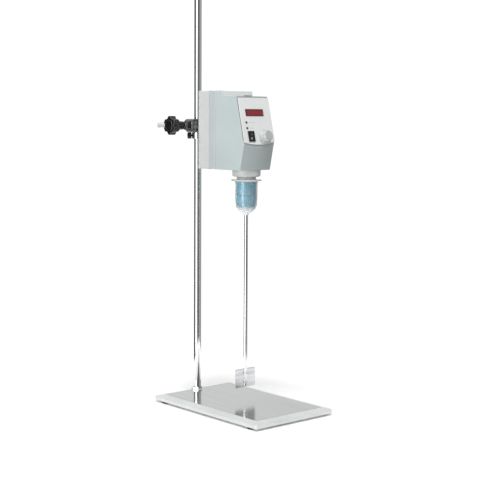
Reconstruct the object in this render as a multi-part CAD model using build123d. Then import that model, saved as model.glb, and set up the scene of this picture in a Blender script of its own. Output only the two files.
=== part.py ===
from build123d import *
import os
import math

# Overhead stirrer on a plate stand, millimetres.
# X = right, Y = rear, Z = up. The origin is the centre of the base plate on
# the surface that its rubber feet stand on. The control panel faces -Y.

os.makedirs("parts", exist_ok=True)

# ---------------------------------------------------------------- dimensions
# stand
PLATE_W = 210.0          # along X
PLATE_D = 330.0          # along Y
FOOT_H = 4.0             # what the feet show under the plate
EDGE_TOP = 12.5          # height of the outer edge of the sloping border
PLATE_TOP = 16.0         # height of the working surface
BORDER = 15.0            # width of the sloping border
PLATE_R = 4.5           # corner radius
COVER_T = 1.2            # inlaid sheet
COVER_GAP = 0.5          # seam around the sheet
FOOT_D = 20.0
FOOT_X, FOOT_Y = 92.0, 138.0

ROD_X, ROD_Y = 0.0, 149.0
ROD_D = 16.0
ROD_TOP = 1016.0
SPIGOT_D = 12.0
NUT_AF = 19.5
NUT_H = 5.0

# stop collar and boss head
FIT = 0.05               # radial clearance of a running fit
COLLAR_OD = 25.0
COLLAR_Z0, COLLAR_Z1 = 563.6, 577.6
COLLAR_DIR = 139.0       # direction of the thumbscrew, degrees from +X
BOSS_Z0, BOSS_Z1 = 578.0, 606.0
BOSS_Z = 592.0           # height of the support rod and the clamp screws
BOSS_X0, BOSS_X1 = -27.0, 33.5
BOSS_Y0, BOSS_Y1 = 135.0, 163.0
ARM_D = 19.0             # round arms that take the clamp screws
ARM_L_END, ARM_R_END = -36.0, 50.0
SCREW_D = 8.0
STAR_R = 20.0
STAR_T = 15.5

# head
HEAD_X0, HEAD_X1 = -22.0, 62.0
CX = 0.5 * (HEAD_X0 + HEAD_X1)
HEAD_Y1 = 123.0          # back of the head
HEAD_Z0 = 501.0          # underside
STEP_Z = 653.0           # top of the low front section
HEAD_Z1 = 665.0          # top of the raised rear section
SEAM_Y = 62.7            # joint between front and rear shell
SEAM2_Y = 97.0           # joint between rear shell and rear cover
WALL = 3.0
SUPPORT_D = 14.0
SUPPORT_END = 313.0

# control panel: its plane passes through the middle of its top edge
PANEL_TOP_Y, PANEL_TOP_Z = -7.5, 650.0
PANEL_TILT = 13.74       # degrees from vertical
PANEL_W = 84.0
PANEL_H = 92.6           # at the sides
PANEL_HC = 98.4          # at the middle, where the lower edge bows down
PANEL_T = 3.0
FRONT_R = 207.0          # radius of the bowed front below the panel

# spindle and drive
SX, SY = 20.0, 12.0      # spindle axis
MX, MY = 20.0, 52.0      # motor axis
GEAR_M = 1.25
GEAR_Z, PINION_Z = 48, 16
SHAFT_D = 8.0
BORE_R = 5.3             # hollow spindle


# ------------------------------------------------------------------- helpers
def box(x0, x1, y0, y1, z0, z1):
    return Pos((x0 + x1) / 2, (y0 + y1) / 2, (z0 + z1) / 2) * Box(x1 - x0, y1 - y0, z1 - z0)


def cyl(x, y, z0, z1, d):
    return Pos(x, y, (z0 + z1) / 2) * Cylinder(d / 2, z1 - z0)


def cyl_x(x0, x1, y, z, d):
    return Pos((x0 + x1) / 2, y, z) * Rot(0, 90, 0) * Cylinder(d / 2, abs(x1 - x0))


def cyl_y(y0, y1, x, z, d):
    return Pos(x, (y0 + y1) / 2, z) * Rot(90, 0, 0) * Cylinder(d / 2, abs(y1 - y0))


def turned(points, x=0.0, y=0.0):
    """Solid of revolution about the vertical axis at x, y from (radius, z) points."""
    face = make_face(Polyline(*points, close=True).edges())
    return Pos(x, y, 0) * revolve(Plane.XZ * face, axis=Axis.Z)


def one(shape):
    """The single solid of a boolean result."""
    s = shape.solids()
    s.sort(key=lambda a: -a.volume)
    return s[0]


def tidy_fillet(shape, edges, radius):
    """Fillet, or a slightly smaller one where the full radius has no room."""
    for k in (1.0, 0.7, 0.4):
        try:
            out = fillet(edges, radius * k)
            if out.is_valid:
                return out
        except Exception:
            pass
    print("fillet left out", radius)
    return shape


def save(name, shape):
    solids = shape.solids() if hasattr(shape, "solids") else [shape]
    out = solids[0] if len(solids) == 1 else Compound(solids)
    export_step(out, "parts/%s.step" % name)
    print("%-18s solids %d volume %.0f" % (name, len(solids), sum(s.volume for s in solids)))


def several(*shapes):
    out = []
    for s in shapes:
        out += list(s.solids())
    return Compound(out)


# --------------------------------------------------------------------- stand
skirt = Pos(0, 0, FOOT_H) * extrude(RectangleRounded(PLATE_W, PLATE_D, PLATE_R), EDGE_TOP - FOOT_H)
slope = loft([Plane.XY.offset(EDGE_TOP) * RectangleRounded(PLATE_W, PLATE_D, PLATE_R),
              Plane.XY.offset(PLATE_TOP) * RectangleRounded(PLATE_W - 2 * BORDER, PLATE_D - 2 * BORDER, 3.0)])
plate = skirt + slope
plate = plate + cyl(ROD_X, ROD_Y, FOOT_H + 2, PLATE_TOP, 29.0)
low_edges = plate.edges().filter_by_position(Axis.Z, FOOT_H - 0.01, FOOT_H + 0.01)
plate = chamfer(low_edges, 1.2)
rim_edges = plate.edges().filter_by_position(Axis.Z, EDGE_TOP - 0.01, EDGE_TOP + 0.01)
plate = tidy_fillet(plate, rim_edges, 1.5)
cover_w = PLATE_W - 2 * BORDER - 2.0
cover_d = PLATE_D - 2 * BORDER - 2.0
recess = Pos(0, 0, PLATE_TOP - COVER_T) * extrude(RectangleRounded(cover_w, cover_d, 3.0), COVER_T + 1)
recess = recess - cyl(ROD_X, ROD_Y, 0, 30, 29.0)
plate = plate - recess
for fx in (-FOOT_X, FOOT_X):
    for fy in (-FOOT_Y, FOOT_Y):
        plate = plate - cyl(fx, fy, FOOT_H - 1, 12.0, 4.0)
plate = plate - cyl(ROD_X, ROD_Y, 0, 30, SPIGOT_D + 0.1)
save("base_plate", one(plate))

cover = Pos(0, 0, PLATE_TOP - COVER_T) * extrude(
    RectangleRounded(cover_w - 2 * COVER_GAP, cover_d - 2 * COVER_GAP, 2.5), COVER_T)
cover = cover - cyl(ROD_X, ROD_Y, 0, 30, 29.0 + 2 * COVER_GAP)
save("plate_cover", one(cover))

feet, foot_screws = [], []
for fx in (-FOOT_X, FOOT_X):
    for fy in (-FOOT_Y, FOOT_Y):
        foot = turned([(2.1, 1.8), (4.4, 1.8), (4.4, 0.0), (9.0, 0.0), (FOOT_D / 2, 1.0),
                       (FOOT_D / 2, FOOT_H), (2.1, FOOT_H)], fx, fy)
        feet.append(foot)
        screw = cyl(fx, fy, 0.6, 1.8, 7.6) + cyl(fx, fy, 1.8, 11.5, 4.0)
        screw = screw - box(fx - 2.4, fx + 2.4, fy - 0.5, fy + 0.5, 0.0, 1.2)
        foot_screws.append(screw)
save("rubber_feet", several(*feet))
save("foot_screws", several(*foot_screws))

nut = Pos(ROD_X, ROD_Y, PLATE_TOP) * extrude(RegularPolygon(NUT_AF / 2, 6, major_radius=False), NUT_H)
nut_cone = turned([(0, PLATE_TOP), (11.3, PLATE_TOP), (11.3, PLATE_TOP + NUT_H - 1.0),
                   (9.6, PLATE_TOP + NUT_H), (0, PLATE_TOP + NUT_H)], ROD_X, ROD_Y)
nut = (nut & nut_cone) - cyl(ROD_X, ROD_Y, 0, 40, SPIGOT_D + 0.1)
save("rod_lock_nut", one(nut))

ROD_Z0 = PLATE_TOP + NUT_H
rod = turned([(0, 5.5), (5.2, 5.5), (SPIGOT_D / 2, 6.3), (SPIGOT_D / 2, ROD_Z0), (ROD_D / 2 - 0.8, ROD_Z0),
              (ROD_D / 2, ROD_Z0 + 0.8), (ROD_D / 2, ROD_TOP - 1.0), (ROD_D / 2 - 1.0, ROD_TOP), (0, ROD_TOP)],
             ROD_X, ROD_Y)
save("stand_rod", rod)

# ------------------------------------------------------------- stop collar
cz = 0.5 * (COLLAR_Z0 + COLLAR_Z1)
ri, ro = ROD_D / 2 + FIT, COLLAR_OD / 2
collar = turned([(ri, COLLAR_Z0), (ro - 0.8, COLLAR_Z0), (ro, COLLAR_Z0 + 0.8), (ro, COLLAR_Z1 - 0.8),
                 (ro - 0.8, COLLAR_Z1), (ri, COLLAR_Z1)], ROD_X, ROD_Y)
to_dir = Pos(ROD_X, ROD_Y, 0) * Rot(0, 0, COLLAR_DIR)
collar = collar - to_dir * cyl_x(4, 20, 0, cz, 5.0 + 2 * FIT)
save("stop_collar", one(collar))

tip_c = to_dir * cyl_x(ROD_D / 2 + 0.15, ROD_D / 2 + 2.2, 0, cz, 5.0)
save("collar_screw_tip", tip_c)

thumb_profile = Plane.YZ * Circle(6.9)
knurls = [Plane.YZ * Pos(7.5 * math.cos(a), 7.5 * math.sin(a)) * Circle(1.1)
          for a in [2 * math.pi * k / 18 for k in range(18)]]
for k in knurls:
    thumb_profile = thumb_profile - k
thumb = Pos(ro + 1.2, 0, cz) * extrude(thumb_profile, 8.0)
thumb = thumb + cyl_x(ROD_D / 2 + 2.5, ro + 1.3, 0, cz, 5.0)
thumb = thumb + cyl_x(ro + 9.0, ro + 10.0, 0, cz, 9.0)
save("collar_thumbscrew", to_dir * one(thumb))

# --------------------------------------------------------------- boss head
by = 0.5 * (BOSS_Y0 + BOSS_Y1)
boss_profile = make_face(Polyline(
    (BOSS_X0, BOSS_Z0 + 8), (BOSS_X0 + 8, BOSS_Z0), (BOSS_X1 - 4, BOSS_Z0), (BOSS_X1, BOSS_Z0 + 4),
    (BOSS_X1, BOSS_Z1 - 7), (BOSS_X1 - 7, BOSS_Z1), (BOSS_X0 + 7, BOSS_Z1), (BOSS_X0, BOSS_Z1 - 5),
    close=True).edges())
boss = extrude(Plane(origin=(0, BOSS_Y1, 0), x_dir=(1, 0, 0), z_dir=(0, -1, 0)) * boss_profile,
               BOSS_Y1 - BOSS_Y0)
vert = boss.edges().filter_by(Axis.Z)
boss = tidy_fillet(boss, vert, 3.0)
boss = boss + cyl_x(ARM_L_END, BOSS_X0 + 6, by, BOSS_Z, ARM_D) + cyl_x(BOSS_X1 - 6, ARM_R_END, by, BOSS_Z, ARM_D)
end_rings = boss.edges().filter_by(GeomType.CIRCLE).filter_by_position(Axis.X, ARM_L_END - 0.1, ARM_L_END + 0.1)
boss = chamfer(end_rings, 1.2)
end_rings = boss.edges().filter_by(GeomType.CIRCLE).filter_by_position(Axis.X, ARM_R_END - 0.1, ARM_R_END + 0.1)
boss = chamfer(end_rings, 1.2)
boss = boss - cyl(ROD_X, ROD_Y, BOSS_Z0 - 5, BOSS_Z1 + 5, ROD_D + 2 * FIT)
boss = boss - cyl_y(BOSS_Y0 - 5, BOSS_Y1 + 5, SX, BOSS_Z, SUPPORT_D + 2 * FIT)
boss = boss - cyl_x(ARM_L_END - 5, ROD_X, by, BOSS_Z, SCREW_D + 2 * FIT)
boss = boss - cyl_x(SX, ARM_R_END + 5, by, BOSS_Z, SCREW_D + 2 * FIT)
save("boss_head", one(boss))

pad_l = cyl_x(ROD_X - ROD_D / 2 - 4.0, ROD_X - ROD_D / 2 - 0.15, by, BOSS_Z, SCREW_D)
save("rod_clamp_pad", pad_l)
pad_r = cyl_x(SX + SUPPORT_D / 2 + 0.15, SX + SUPPORT_D / 2 + 4.0, by, BOSS_Z, SCREW_D)
save("arm_clamp_pad", pad_r)


def star_knob():
    """Scalloped knob with a tapered hub. Its axis is +X, the hub begins at x = 0."""
    face = Circle(STAR_R)
    for k in range(6):
        a = math.radians(60 * k)
        face = face - Pos(24.5 * math.cos(a), 24.5 * math.sin(a)) * Circle(8.2)
    corners = face.vertices()
    face = fillet(corners, 2.6)
    disc = extrude(Plane.YZ * face, STAR_T)
    rims = disc.edges().filter_by_position(Axis.X, -0.01, 0.01) + disc.edges().filter_by_position(
        Axis.X, STAR_T - 0.01, STAR_T + 0.01)
    disc = tidy_fillet(disc, rims, 2.5)
    hub = turned([(0, 0), (8.4, 0), (8.9, 1.0), (9.4, 8.0), (11.6, 18.0), (15.0, 23.5), (15.0, 28.0), (0, 28.0)])
    hub = Rot(0, 90, 0) * hub
    crown = Rot(0, 90, 0) * turned([(0, 37.0), (12.5, 37.0), (10.5, 39.0), (0, 39.5)])
    return hub + Pos(22.5, 0, 0) * disc + crown


# the left knob points to -X, the right one to +X
hub_l = ARM_L_END - 4.3
knob = star_knob()
bore = cyl_x(-1.0, 32.0, 0, 0, SCREW_D)
knob_l = Pos(hub_l, by, BOSS_Z) * Rot(0, 0, 180) * (knob - bore)
save("rod_clamp_knob", one(knob_l))
save("rod_clamp_screw", cyl_x(hub_l - 32.0, ROD_X - ROD_D / 2 - 4.3, by, BOSS_Z, SCREW_D))
hub_r = ARM_R_END + 4.3
knob_r = Pos(hub_r, by, BOSS_Z) * (knob - bore)
save("arm_clamp_knob", one(knob_r))
save("arm_clamp_screw", cyl_x(SX + SUPPORT_D / 2 + 4.3, hub_r + 32.0, by, BOSS_Z, SCREW_D))

# ------------------------------------------------------------ head, outside
tilt = math.radians(PANEL_TILT)
PN = (0.0, -math.cos(tilt), math.sin(tilt))            # outward normal of the panel
panel_plane = Plane(origin=(CX, PANEL_TOP_Y, PANEL_TOP_Z), x_dir=(1, 0, 0), z_dir=PN)

chin = (-12.5 / 58.35, 57.0 / 58.35)                   # direction of the bowed front in Y, Z
back = (57.0 / 58.35, 12.5 / 58.35)
chin_origin = (CX, -19.3 + FRONT_R * back[0], HEAD_Z0 + FRONT_R * back[1])
chin_plane = Plane(origin=chin_origin, x_dir=(1, 0, 0), z_dir=(0, chin[0], chin[1]))


def head_form(o, rounded=False):
    """The closed form of the head, shrunk by o on every side."""
    form = box(HEAD_X0 + o, HEAD_X1 - o, -80, HEAD_Y1 - o, HEAD_Z0 + o, HEAD_Z1 - o)
    if rounded:
        e = form.edges().filter_by(Axis.Z).filter_by_position(Axis.Y, HEAD_Y1 - 1, HEAD_Y1 + 1)
        form = fillet(e, 6.0)
        e = form.edges().filter_by_position(Axis.Z, HEAD_Z1 - 0.01, HEAD_Z1 + 0.01)
        form = fillet(e, 2.5)
        e = form.edges().filter_by_position(Axis.Z, HEAD_Z0 - 0.01, HEAD_Z0 + 0.01)
        form = fillet(e, 1.5)
    form = form & (chin_plane * Cylinder(FRONT_R - o, 600))
    top_cut = make_face(Polyline((-90, STEP_Z - o), (40.0 + o, STEP_Z - o), (43.0 + o, HEAD_Z1 + 10),
                                 (-90, HEAD_Z1 + 10), close=True).edges())
    wedge = extrude(Plane.YZ * top_cut, 400, both=True)
    form = form - wedge
    form = form - (panel_plane * Pos(0, 0, 50 - PANEL_T - o) * Box(300, 500, 100))
    return one(form)


outer = head_form(0.0, rounded=True)
# soften the two upright front corners and the edges of the low front section
front_edges = [e for e in outer.edges()
               if e.length > 40 and e.center().Y < 0 and e.center().Z < 562
               and abs(abs(e.center().X - CX) - PANEL_W / 2) < 0.5]
outer = tidy_fillet(outer, front_edges, 4.5) if front_edges else outer
# round the two upright front corners of the raised section
block_edges = [e for e in outer.edges()
               if e.length > 8 and 38.0 < e.center().Y < 46.0 and e.center().Z > STEP_Z + 3
               and min(abs(e.center().X - HEAD_X0), abs(e.center().X - HEAD_X1)) < 0.6]
outer = tidy_fillet(outer, block_edges, 6.0) if block_edges else outer
inner = head_form(WALL)
groove = head_form(0.9)

walls = outer - inner

front_zone = box(-200, 200, -100, SEAM_Y - 0.1, 400, 800)
front = walls & front_zone
# window behind the control panel, leaving a frame for it to sit on
front = front - (panel_plane * Pos(0, -47.9, -6) * Box(74, 84.2, 10))
front = front - (panel_plane * Pos(-20.7, -81.3, -8) * Box(15.0, 20.4, 18)) - (panel_plane * Pos(15.0, -82.6, -8) * Box(17, 15, 18))
# opening in the floor for the spindle housing
front = front - cyl(SX, SY, HEAD_Z0 - 5, HEAD_Z0 + WALL + 5, 42.4)
for k in range(3):
    a = math.radians(90 + 120 * k)
    front = front - cyl(SX + 25.4 * math.cos(a), SY + 25.4 * math.sin(a), HEAD_Z0 - 1, HEAD_Z0 + WALL + 1, 4.1)
# long vent slot low in the face of the raised section
front = front - box(36.0, 59.0, 35.0, 46.0, STEP_Z + 0.6, STEP_Z + 2.4)
seam_edges = [e for e in front.edges() if abs(e.center().Y - (SEAM_Y - 0.1)) < 0.01 and e.length > 20
              and (abs(e.center().X - HEAD_X0) < 0.2 or abs(e.center().X - HEAD_X1) < 0.2
                   or abs(e.center().Z - HEAD_Z1) < 0.2)]
try:
    chamfered = chamfer(seam_edges, 0.9)
    if chamfered.is_valid:
        front = chamfered
except Exception:
    print("seam chamfer left out")
save("front_shell", one(front))

rear_zone = box(-200, 200, SEAM_Y + 0.1, SEAM2_Y - 0.1, 400, 800)
rear = walls & rear_zone
# shallow band that runs round the shell
band = (outer - groove) & box(-200, 200, 66.0, 84.0, 400, 800)
rear = rear - band
for k in range(6):
    rear = rear - box(-8.0 + 10.0 * k, -4.5 + 10.0 * k, 70.0, 92.0, HEAD_Z0 - 1, HEAD_Z0 + WALL + 1)
save("rear_shell", one(rear))

cover_zone = box(-200, 200, SEAM2_Y + 0.1, 200, 400, 800)
rcover = walls & cover_zone
INLET_X, INLET_Z = 20.0, 533.0
rcover = rcover - box(INLET_X - 14.1, INLET_X + 14.1, HEAD_Y1 - 10, HEAD_Y1 + 5, INLET_Z - 20.1, INLET_Z + 11.1)
for sx_ in (HEAD_X0 + 9, HEAD_X1 - 9):
    for sz_ in (HEAD_Z0 + 10, HEAD_Z1 - 12):
        rcover = rcover - cyl_y(HEAD_Y1 - 10, HEAD_Y1 + 5, sx_, sz_, 3.4)
        rcover = rcover - cyl_y(HEAD_Y1 - 1.6, HEAD_Y1 + 5, sx_, sz_, 6.8)
for k in range(4):
    a = math.radians(45 + 90 * k)
    rcover = rcover - cyl_y(HEAD_Y1 - 10, HEAD_Y1 + 5, SX + 15.5 * math.cos(a), BOSS_Z + 15.5 * math.sin(a), 4.1)
for k in range(5):
    rcover = rcover - box(-2.0, 42.0, HEAD_Y1 - 10, HEAD_Y1 + 5, 622.0 + 6.0 * k, 624.4 + 6.0 * k)
save("rear_cover", one(rcover))

screws = []
for sx_ in (HEAD_X0 + 9, HEAD_X1 - 9):
    for sz_ in (HEAD_Z0 + 10, HEAD_Z1 - 12):
        s = cyl_y(HEAD_Y1 - 1.5, HEAD_Y1 + 0.1, sx_, sz_, 6.4) + cyl_y(HEAD_Y1 - 12, HEAD_Y1 - 1.5, sx_, sz_, 3.2)
        s = s - box(sx_ - 2.0, sx_ + 2.0, HEAD_Y1 - 0.7, HEAD_Y1 + 1, sz_ - 0.4, sz_ + 0.4)
        s = s - box(sx_ - 0.4, sx_ + 0.4, HEAD_Y1 - 0.7, HEAD_Y1 + 1, sz_ - 2.0, sz_ + 2.0)
        screws.append(s)
save("housing_screws", several(*screws))

# support rod with its flange
FL_Y0, FL_Y1 = HEAD_Y1 + 0.1, HEAD_Y1 + 6.0
arm = cyl_y(FL_Y0, FL_Y1, SX, BOSS_Z, 44.0)
rim = arm.edges().filter_by(GeomType.CIRCLE).filter_by_position(Axis.Y, FL_Y1 - 0.01, FL_Y1 + 0.01)
arm = chamfer(rim, 1.0)
bar = cyl_y(FL_Y0, SUPPORT_END, SX, BOSS_Z, SUPPORT_D)
rim = bar.edges().filter_by(GeomType.CIRCLE).filter_by_position(Axis.Y, SUPPORT_END - 0.01, SUPPORT_END + 0.01)
bar = chamfer(rim, 1.0)
arm = arm + bar
flange_screws = []
for k in range(4):
    a = math.radians(45 + 90 * k)
    px, pz = SX + 15.5 * math.cos(a), BOSS_Z + 15.5 * math.sin(a)
    arm = arm - cyl_y(FL_Y0 - 1, FL_Y1 + 1, px, pz, 4.1)
    s = cyl_y(HEAD_Y1 - 8.0, FL_Y1, px, pz, 4.0) + cyl_y(FL_Y1, FL_Y1 + 3.2, px, pz, 7.0)
    sock = Plane(origin=(px, FL_Y1 + 1.4, pz), x_dir=(1, 0, 0), z_dir=(0, 1, 0)) * RegularPolygon(1.5, 6, major_radius=False)
    s = s - extrude(sock, 3.0)
    flange_screws.append(s)
save("support_rod", one(arm))


# --------------------------------------------------------- control panel
def on_panel(u, v, h=0.0):
    """Location at u from the panel's left edge, v down from its top edge, h outwards."""
    return panel_plane * Pos(u - PANEL_W / 2, -v, h)


SW_U, SW_V = 21.3, 81.3
KNOB_U, KNOB_V = 57.0, 82.6
DISP_U, DISP_V, DISP_W, DISP_H = 39.0, 31.6, 46.0, 12.2
LEDS = [(13.2, 52.3), (13.2, 64.1)]

hw = PANEL_W / 2
outline = make_face([*Polyline((-hw, -PANEL_H), (-hw, 0), (hw, 0), (hw, -PANEL_H)).edges(),
                     ThreePointArc((hw, -PANEL_H), (0, -PANEL_HC), (-hw, -PANEL_H))])
outline = fillet(outline.vertices(), 2.5)
panel = extrude(panel_plane.offset(-PANEL_T) * outline, PANEL_T - 0.02)
try:
    top_rim = [e for e in panel.edges() if abs(panel_plane.to_local_coords(e).center().Z + 0.02) < 0.01]
    panel = fillet(top_rim, 0.8)
except Exception:
    print("panel rim fillet left out")
panel = panel - on_panel(DISP_U, DISP_V) * Box(DISP_W, DISP_H, 10)
for u, v in LEDS:
    panel = panel - on_panel(u, v) * Cylinder(1.6, 10)
panel = panel - on_panel(SW_U, SW_V) * Box(14.2, 19.2, 10)
panel = panel - on_panel(KNOB_U, KNOB_V) * Cylinder(3.6, 10)
save("control_panel", one(panel))

window = on_panel(DISP_U, DISP_V, -1.3) * Box(DISP_W - 0.2, DISP_H - 0.2, 2.0)
save("display_window", window)
module = on_panel(DISP_U, DISP_V, -6.7) * Box(DISP_W - 1.0, DISP_H + 4.0, 7.2)
leds = [on_panel(u, v, -1.5) * (Cylinder(1.5, 3.6) + Pos(0, 0, 1.8) * Sphere(1.0)) for u, v in LEDS]
save("status_leds", several(*leds))
board = on_panel(40.0, 37.0, -11.1) * Box(70.0, 60.0, 1.6)
save("control_board", several(board, module))

# rocker switch: a frame with a body behind the panel, and the rocker in it
frame = on_panel(SW_U, SW_V, 0.85) * Box(16.6, 21.6, 1.6)
frame = frame + on_panel(SW_U, SW_V, -8.5) * Box(14.0, 19.0, 17.1)
frame = frame - on_panel(SW_U, SW_V, -2.0) * Box(11.6, 17.0, 10.0)
ROCK_PIVOT = -1.0        # depth of the rocker's pivot behind the panel face
# pivot pin that the rocker turns on, held in the two side walls
frame = frame + on_panel(SW_U, SW_V, ROCK_PIVOT) * Rot(0, 90, 0) * Cylinder(0.8, 12.4)
save("switch_housing", one(frame))
rk = on_panel(SW_U, SW_V, 0.0)
polar = lambda r, deg: (r * math.cos(math.radians(deg)), ROCK_PIVOT + r * math.sin(math.radians(deg)))
rocker_face = make_face(Polyline(polar(8.2, 170), polar(2.6, 101), polar(8.2, 32), polar(8.2, 1), polar(4.6, 281),
                                 polar(8.2, 201), close=True).edges())
# section in the plane of the rocking motion: local y runs up the panel, local z outwards
rocker = extrude(Plane.YZ * rocker_face, 5.5, both=True)
rocker = rocker - Pos(0, 0, ROCK_PIVOT) * Rot(0, 90, 0) * Cylinder(0.85, 14.0)
rocker = rk * rocker
save("power_rocker", one(rocker))

# speed control: potentiometer behind the panel, its shaft and the knob in front
kp = on_panel(KNOB_U, KNOB_V)
pot = kp * Pos(0, 0, -8.1) * Box(16.0, 14.0, 9.8)
pot = pot + kp * Pos(0, 0, -1.6) * Cylinder(3.5, 4.2)
pot = pot - kp * Pos(0, 0, -3.0) * Cylinder(3.05, 14.0)
save("speed_pot", one(pot))
pshaft = kp * Pos(0, 0, 1.5) * Cylinder(3.0, 22.0)
save("pot_shaft", pshaft)
kn_prof = make_face(Polyline((3.0, 0.9), (14.6, 0.9), (14.6, 3.0), (13.4, 4.2), (11.6, 5.0), (10.9, 13.4), (10.0, 14.4),
                             (0.0, 14.4), (0.0, 12.6), (3.0, 12.6), close=True).edges())
knob_s = revolve(Plane.XZ * kn_prof, axis=Axis.Z)
for k in range(12):
    a = math.radians(30 * k + 15)
    knob_s = knob_s - Pos(12.0 * math.cos(a), 12.0 * math.sin(a), 10.0) * Cylinder(1.3, 9.0)
# pointer groove
knob_s = knob_s - Pos(0, 6.6, 14.3) * Box(1.2, 7.5, 1.0)
save("speed_knob", kp * one(knob_s))

# --------------------------------------------------------- mains inlet
iy0 = HEAD_Y1 - 24.0
inlet = box(INLET_X - 14.0, INLET_X + 14.0, iy0, HEAD_Y1 + 0.1, INLET_Z - 20.0, INLET_Z + 11.0)
inlet = inlet + box(INLET_X - 16.0, INLET_X + 16.0, HEAD_Y1 + 0.1, HEAD_Y1 + 2.6, INLET_Z - 22.0, INLET_Z + 13.0)
cavity = box(INLET_X - 12.2, INLET_X + 12.2, HEAD_Y1 - 14.5, HEAD_Y1 + 5, INLET_Z - 8.2, INLET_Z + 8.2)
up = cavity.edges().filter_by(Axis.Y).filter_by_position(Axis.Z, INLET_Z + 8, INLET_Z + 9)
cavity = chamfer(up, 4.2)
inlet = inlet - cavity
inlet = inlet - box(INLET_X - 12.2, INLET_X + 12.2, HEAD_Y1 - 20.0, HEAD_Y1 + 5, INLET_Z - 18.6, INLET_Z - 10.6)
save("mains_inlet", one(inlet))
pins = []
for ax, az in ((-7.0, -1.8), (7.0, -1.8), (0.0, 2.2)):
    pins.append(box(INLET_X + ax - 1.0, INLET_X + ax + 1.0, HEAD_Y1 - 14.5, HEAD_Y1 + 0.0, INLET_Z + az - 2.0, INLET_Z + az + 2.0))
save("inlet_pins", several(*pins))
drawer = box(INLET_X - 11.8, INLET_X + 11.8, HEAD_Y1 - 18.0, HEAD_Y1 + 3.4, INLET_Z - 18.2, INLET_Z - 11.0)
drawer = drawer - box(INLET_X - 10.6, INLET_X + 10.6, HEAD_Y1 - 16.8, HEAD_Y1 - 9.0, INLET_Z - 17.0, INLET_Z - 9.0)
drawer = drawer - box(INLET_X - 5.0, INLET_X + 5.0, HEAD_Y1 + 2.7, HEAD_Y1 + 5.0, INLET_Z - 12.6, INLET_Z - 10.0)
save("fuse_drawer", one(drawer))
fuse = cyl_x(INLET_X - 10.0, INLET_X + 10.0, HEAD_Y1 - 13.0, INLET_Z - 13.9, 5.0)
save("fuse", fuse)

# --------------------------------------------------------- spindle nose
lower_b, upper_b = 490.0, 530.0
nose = turned([(13.0, 500.0), (17.5, 500.0), (17.5, 477.5), (22.4 - 0.6, 477.5), (22.4, 478.1), (22.4, 481.0), (20.0, 481.5),
               (20.0, 487.0), (26.5, 487.0), (28.7, 488.0), (29.6, 490.2), (29.6, 501.0 - 0.1), (21.0, 501.0 - 0.1),
               (21.0, 541.0), (17.5, 541.0), (17.5, 530.0), (13.0, 530.0)], SX, SY)
nose_screws = []
for k in range(3):
    a = math.radians(90 + 120 * k)
    px, py = SX + 25.4 * math.cos(a), SY + 25.4 * math.sin(a)
    nose = nose - cyl(px, py, 486.0, 502.0, 4.1) - cyl(px, py, 480.0, 491.0, 7.0)
    s = cyl(px, py, 488.0, 491.0, 6.8) + cyl(px, py, 491.0, 508.0, 4.0)
    sock = Pos(px, py, 487.5) * extrude(RegularPolygon(1.5, 6, major_radius=False), 2.0)
    nose_screws.append(s - sock)
save("spindle_nose", one(nose))
# the socket screws of the flange and of the nose are alike
save("socket_screws", several(*flange_screws, *nose_screws))


def bearing(z0):
    """Deep-groove ball bearing 17 x 35 x 10 as its ring with recessed shields."""
    ring = turned([(8.55, z0), (11.0, z0), (11.0, z0 + 0.8), (14.6, z0 + 0.8), (14.6, z0), (17.45, z0), (17.45, z0 + 10),
                   (14.6, z0 + 10), (14.6, z0 + 9.2), (11.0, z0 + 9.2), (11.0, z0 + 10), (8.55, z0 + 10)], SX, SY)
    return ring


save("spindle_bearings", several(bearing(lower_b), bearing(upper_b)))

# spindle: hollow, with a spigot below for the chuck and a seat above for the gear
spindle = turned([(BORE_R, 462.0), (7.0, 462.0), (7.0, 478.0), (8.5, 478.0), (8.5, 500.2), (10.0, 500.2), (10.0, 529.8),
                  (8.5, 529.8), (8.5, 541.0), (7.5, 541.0), (7.5, 555.4), (BORE_R, 555.4)], SX, SY)
save("spindle", spindle)


# ------------------------------------------------------------ gears
def spur_face(teeth, m, backlash, start):
    """Involute spur gear outline: each flank is an arc through three involute points."""
    r = m * teeth / 2
    rb, ra, rf = r * math.cos(math.radians(20)), r + m, r - 1.25 * m
    inv = lambda t: math.tan(t) - t
    base = math.pi / (2 * teeth) - backlash / (2 * r) + inv(math.radians(20))

    def half(rho):
        rho = max(rho, rb)
        return base - inv(math.acos(rb / rho))

    r0 = max(rb, rf)
    rm = 0.5 * (r0 + ra)
    edges = []
    pt = lambda rad, ang: (rad * math.cos(ang), rad * math.sin(ang))
    for i in range(teeth):
        c = start + 2 * math.pi * i / teeth
        n = start + 2 * math.pi * (i + 1) / teeth
        if rb > rf + 0.01:
            edges.append(Line(pt(rf, c - half(r0)), pt(r0, c - half(r0))))
        edges.append(ThreePointArc(pt(r0, c - half(r0)), pt(rm, c - half(rm)), pt(ra, c - half(ra))))
        edges.append(Line(pt(ra, c - half(ra)), pt(ra, c + half(ra))))
        edges.append(ThreePointArc(pt(ra, c + half(ra)), pt(rm, c + half(rm)), pt(r0, c + half(r0))))
        if rb > rf + 0.01:
            edges.append(Line(pt(r0, c + half(r0)), pt(rf, c + half(r0))))
            edges.append(Line(pt(rf, c + half(r0)), pt(rf, n - half(r0))))
        else:
            edges.append(Line(pt(r0, c + half(r0)), pt(r0, n - half(r0))))
    return make_face(edges)


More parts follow.
